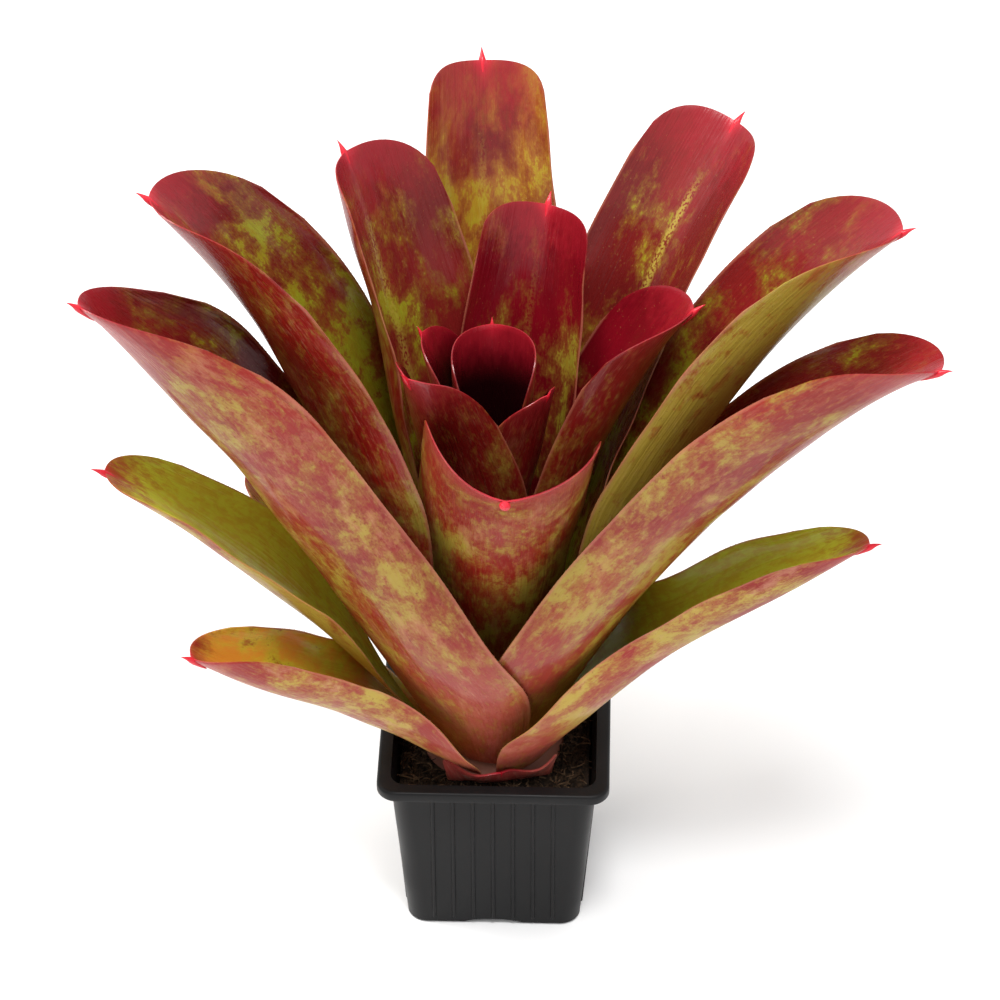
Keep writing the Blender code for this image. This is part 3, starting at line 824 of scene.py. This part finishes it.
def solid(name, verts, faces, mat, turn=0.0):
    """mesh object in metres from points in millimetres"""
    c, s = math.cos(math.radians(turn)), math.sin(math.radians(turn))
    mesh = bpy.data.meshes.new(name)
    mesh.from_pydata([((x * c - y * s) * MM, (x * s + y * c) * MM, z * MM) for x, y, z in verts],
                     [], faces)
    mesh.update()
    mesh.materials.append(mat)
    mesh.shade_smooth()
    mesh.set_sharp_from_angle(angle=math.radians(35))
    obj = bpy.data.objects.new(name, mesh)
    bpy.context.collection.objects.link(obj)
    return obj


def inner_size(z):
    """clear width inside the pot wall at height z"""
    top = BODY_TOP - 2 * WALL
    low = BASE - 2 * WALL
    return low + (top - low) * z / (POT_H - RIM_LIP)


def cut(obj, cutters):
    """subtract each cutter, keep the plain result"""
    for cutter in cutters:
        mod = obj.modifiers.new("cut", "BOOLEAN")
        mod.operation = "DIFFERENCE"
        mod.solver = "EXACT"
        mod.object = cutter
    graph = bpy.context.evaluated_depsgraph_get()
    baked = bpy.data.meshes.new_from_object(obj.evaluated_get(graph))
    baked.set_sharp_from_angle(angle=math.radians(32))
    obj.modifiers.clear()
    obj.data = baked
    for cutter in cutters:
        bpy.data.objects.remove(cutter)


def pot_rings():
    """outlines of the pot from under its foot, over the rim and down to the inner floor"""
    seat = POT_H - RIM_LIP
    mouth = RIM - 2 * RIM_FLAT
    inner_r = CORNER_R - WALL
    rings = [rounded_square(BASE - 1.6, CORNER_R - 0.8, 0)]
    for k in range(8):
        width = BASE + (BODY_TOP - BASE) * k / 8
        rings.append(rounded_square(width, CORNER_R, BASE_ROUND + (seat - BASE_ROUND) * k / 8))
    rings.append(rounded_square(BODY_TOP, CORNER_R, seat))
    rings.append(rounded_square(RIM - 2 * SKIRT_ROUND, CORNER_R, seat))
    for w in map(math.radians, (15, 50, 90)):
        width = RIM - 2 * SKIRT_ROUND * (1 - math.sin(w))
        rings.append(rounded_square(width, CORNER_R, seat + SKIRT_ROUND * (1 - math.cos(w))))
    for w in map(math.radians, (0, 22, 45, 68, 90)):
        width = RIM - 2 * RIM_ROUND * (1 - math.cos(w))
        rings.append(rounded_square(width, CORNER_R - 0.3, POT_H - RIM_ROUND * (1 - math.sin(w))))
    for w in map(math.radians, (90, 60, 30, 0)):
        width = mouth - MOUTH_ROUND * (1 - math.cos(w))
        rings.append(rounded_square(width, CORNER_R - 2, POT_H - MOUTH_ROUND * (1 - math.sin(w))))
    rings.append(rounded_square(inner_size(seat), inner_r, seat - 3.0))
    rings += [rounded_square(inner_size(z), inner_r, z) for z in (50, 30, 12)]
    rings.append(rounded_square(inner_size(0), inner_r, FLOOR))
    return rings


def make_pot(mat):
    """tapered square pot with a rounded turned-out rim, drain holes and foot arches"""
    pot = solid("pot_shell", *loft(pot_rings()), mat, turn=POT_TURN)
    cutters = []
    for k in range(4):
        a = math.radians(45 + 90 * k + POT_TURN)
        x, y = DRAIN_OUT * math.cos(a), DRAIN_OUT * math.sin(a)
        circle = [[(x + DRAIN_R * math.cos(w), y + DRAIN_R * math.sin(w), z)
                   for w in np.linspace(0, 2 * math.pi, 33)[:-1]]
                  for z in (-CUT_PAST, FLOOR + CUT_PAST)]
        cutters.append(solid("drain", *loft(circle), mat))
    half = ARCH_W / 2
    outline = [(-half, -1), (half, -1)]
    outline += [(half * math.cos(a), ARCH_H * math.sin(a)) for a in np.linspace(0, math.pi, 15)]
    for k in range(2):
        for side in (-1, 1):
            y0, y1 = sorted((side * (BASE / 2 - 4), side * (BASE / 2 + 3)))
            rings = [[(x, y, z) for x, z in reversed(outline)] for y in (y0, y1)]
            cutters.append(solid("arch", *loft(rings), mat, turn=POT_TURN + 90 * k))
    cut(pot, cutters)
    return pot


def make_soil(mat):
    """peat with an uneven top round the stem's hole; also its bare top, for the litter"""
    n = 120
    rng = np.random.default_rng(5)
    turn = math.radians(POT_TURN)
    compass = np.linspace(0, 2 * math.pi, n + 1)[:-1]
    square = (np.abs(np.cos(compass)) ** 11 + np.abs(np.sin(compass)) ** 11) ** (-1 / 11)

    def outline(z, inset=0.0):
        half = inner_size(z) / 2 - SOIL_GAP - inset
        return [(half * q * math.cos(a + turn), half * q * math.sin(a + turn), z)
                for a, q in zip(compass, square)]

    def hole(z):
        return [(PLANT_X + STEM_HOLE_R * math.cos(a + turn),
                 PLANT_Y + STEM_HOLE_R * math.sin(a + turn), z) for a in compass]

    waves = [(rng.uniform(0.1, 0.55), rng.uniform(0, PHASE), rng.uniform(0, PHASE),
              rng.uniform(0.15, 0.4)) for _ in range(14)]

    def height(x, y):
        return sum(h * math.sin(f * (x * math.cos(d) + y * math.sin(d)) + p)
                   for f, d, p, h in waves)

    outer, inner = np.array(outline(SOIL_TOP, 0.5)), np.array(hole(SOIL_TOP))
    top = []
    for u in np.linspace(0, 1, 17):
        calm = min(1.0, 5 * u + 0.3) * min(1.0, 5 * (1 - u))
        top.append([(x, y, SOIL_TOP + 0.9 * calm * height(x, y)
                     + 0.7 * calm * rng.uniform(-1, 1) - 0.5 * (1 - calm))
                    for x, y, _ in outer * (1 - u) + inner * u])
    rings = [outline(FLOOR + 0.4), outline(SOIL_TOP - 1.5)] + top + [hole(STEM_HOLE_Z)]
    soil = solid("soil_fill", *loft(rings), mat)
    inside = top[2:-1]
    verts = [(x * MM, y * MM, (z + 0.2) * MM) for ring in inside for x, y, z in ring]
    faces = [(i * n + j, i * n + (j + 1) % n, (i + 1) * n + (j + 1) % n, (i + 1) * n + j)
             for i in range(len(inside) - 1) for j in range(n)]
    bare = bpy.data.meshes.new("soil_top")
    bare.from_pydata(verts, [], faces)
    return soil, bare


# finishes: inner red and lime, outer red, lime and pale, roughness
outer_mat = leaf_skin("outer_leaf_skin", (0.27, 0.022, 0.010), (0.47, 0.50, 0.032),
                      (0.27, 0.019, 0.012), (0.40, 0.30, 0.040), (0.52, 0.25, 0.15), 0.34)
middle_mat = leaf_skin("middle_leaf_skin", (0.205, 0.012, 0.011), (0.27, 0.27, 0.014),
                       (0.25, 0.011, 0.006), (0.34, 0.25, 0.030), (0.47, 0.20, 0.095), 0.29)
heart_mat = leaf_skin("heart_leaf_skin", (0.17, 0.0025, 0.008), (0.25, 0.22, 0.020),
                      (0.21, 0.010, 0.009), (0.31, 0.22, 0.030), (0.36, 0.11, 0.06), 0.23)
bract_mat = leaf_skin("bract_skin", (0.50, 0.09, 0.075), (0.55, 0.28, 0.18),
                      (0.50, 0.085, 0.072), (0.58, 0.26, 0.18), (0.66, 0.30, 0.24), 0.38)
plastic = pot_skin()
peat = peat_skin("peat", (0.007, 0.005, 0.004), (0.040, 0.025, 0.015), 260.0)
dark_bits = peat_skin("dark_peat_grains", (0.012, 0.008, 0.005), (0.075, 0.045, 0.025), 420.0)
tan_bits = peat_skin("tan_peat_fibres", (0.060, 0.034, 0.018), (0.20, 0.125, 0.070), 300.0)

# every piece with the part it stands for
SKINS = {"outer": (outer_mat, "outer_leaf"), "middle": (middle_mat, "middle_leaf"),
         "heart": (heart_mat, "heart_leaf")}
margins = []
for number, (node, leaf) in enumerate(LEAVES.items()):
    look = dict(LOOKS[node], seed=number + 3)
    blade, edge = leaf_blade(node.replace("leaf_", "blade_"), leaf, look)
    mat, slot = SKINS[leaf["whorl"]]
    blade.data.materials.append(bract_mat if node == "leaf_front_bract" else mat)
    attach(blade, "root")
    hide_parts(node)
    margins += edge

thorns = teeth(margins, tooth_skin())
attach(thorns, "root")

pot = make_pot(plastic)
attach(pot, "root")
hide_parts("pot")
ribs = wall_ribs(plastic)
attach(ribs, "root")

soil, soil_top = make_soil(peat)
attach(soil, "root")
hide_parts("soil")
for piece in (
    crumbs("peat_grains", dark_bits, soil_top, 420000.0, 11, 0.00095),
    litter("peat_fibres", tan_bits, soil_top, 80000.0, 21, 0.0080, 0.00034, 0.0018),
    litter("peat_threads", dark_bits, soil_top, 120000.0, 31, 0.0095, 0.00026, -0.0020),
):
    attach(piece, "root")

stem = frame["nodes"]["stem"]
stem.data.materials.clear()
stem.data.materials.append(stem_skin())

# floor, light and camera
floor_mesh = bpy.data.meshes.new("floor")
floor_mesh.from_pydata([(-6, -6, 0), (6, -6, 0), (6, 6, 0), (-6, 6, 0)], [], [(0, 1, 2, 3)])
floor = bpy.data.objects.new("floor", floor_mesh)
bpy.context.collection.objects.link(floor)
paper = Skin("white_floor", rough=0.9, specular=0.1)
paper.colour((0.94, 0.94, 0.94))
floor_mesh.materials.append(paper.mat)


def facing(place, aim):
    """rotation that points a light or camera at the aim"""
    return (Vector(aim) - Vector(place)).to_track_quat("-Z", "Y").to_euler()


def soft_light(name, place, aim, size, power, colour=(1, 1, 1)):
    data = bpy.data.lights.new(name, "AREA")
    data.shape = "DISK"
    data.size = size
    data.energy = power
    data.color = colour
    lamp = bpy.data.objects.new(name, data)
    lamp.location = place
    lamp.rotation_euler = facing(place, aim)
    bpy.context.collection.objects.link(lamp)


soft_light("key", (-0.85, 0.10, 1.35), (0, 0, 0.15), size=0.60, power=15.0,
           colour=(1.0, 0.985, 0.96))
soft_light("overhead", (0.12, -0.55, 1.60), (0, 0, 0.2), size=0.45, power=15.0)
world = bpy.data.worlds.new("studio")
world.use_nodes = True
sky = world.node_tree.nodes["Background"]
sky.inputs["Color"].default_value = (1, 1, 1, 1)
sky.inputs["Strength"].default_value = 0.88
bpy.context.scene.world = world
bpy.context.scene.view_settings.view_transform = "Standard"

lens = bpy.data.cameras.new("camera")
lens.lens = 151.2
lens.sensor_width = 36.0
camera = bpy.data.objects.new("camera", lens)
camera.location = (0.0016, -1.2474, 1.1616)
camera.rotation_euler = facing(camera.location, (0.0016, 0, 0.187))
bpy.context.collection.objects.link(camera)
bpy.context.scene.camera = camera
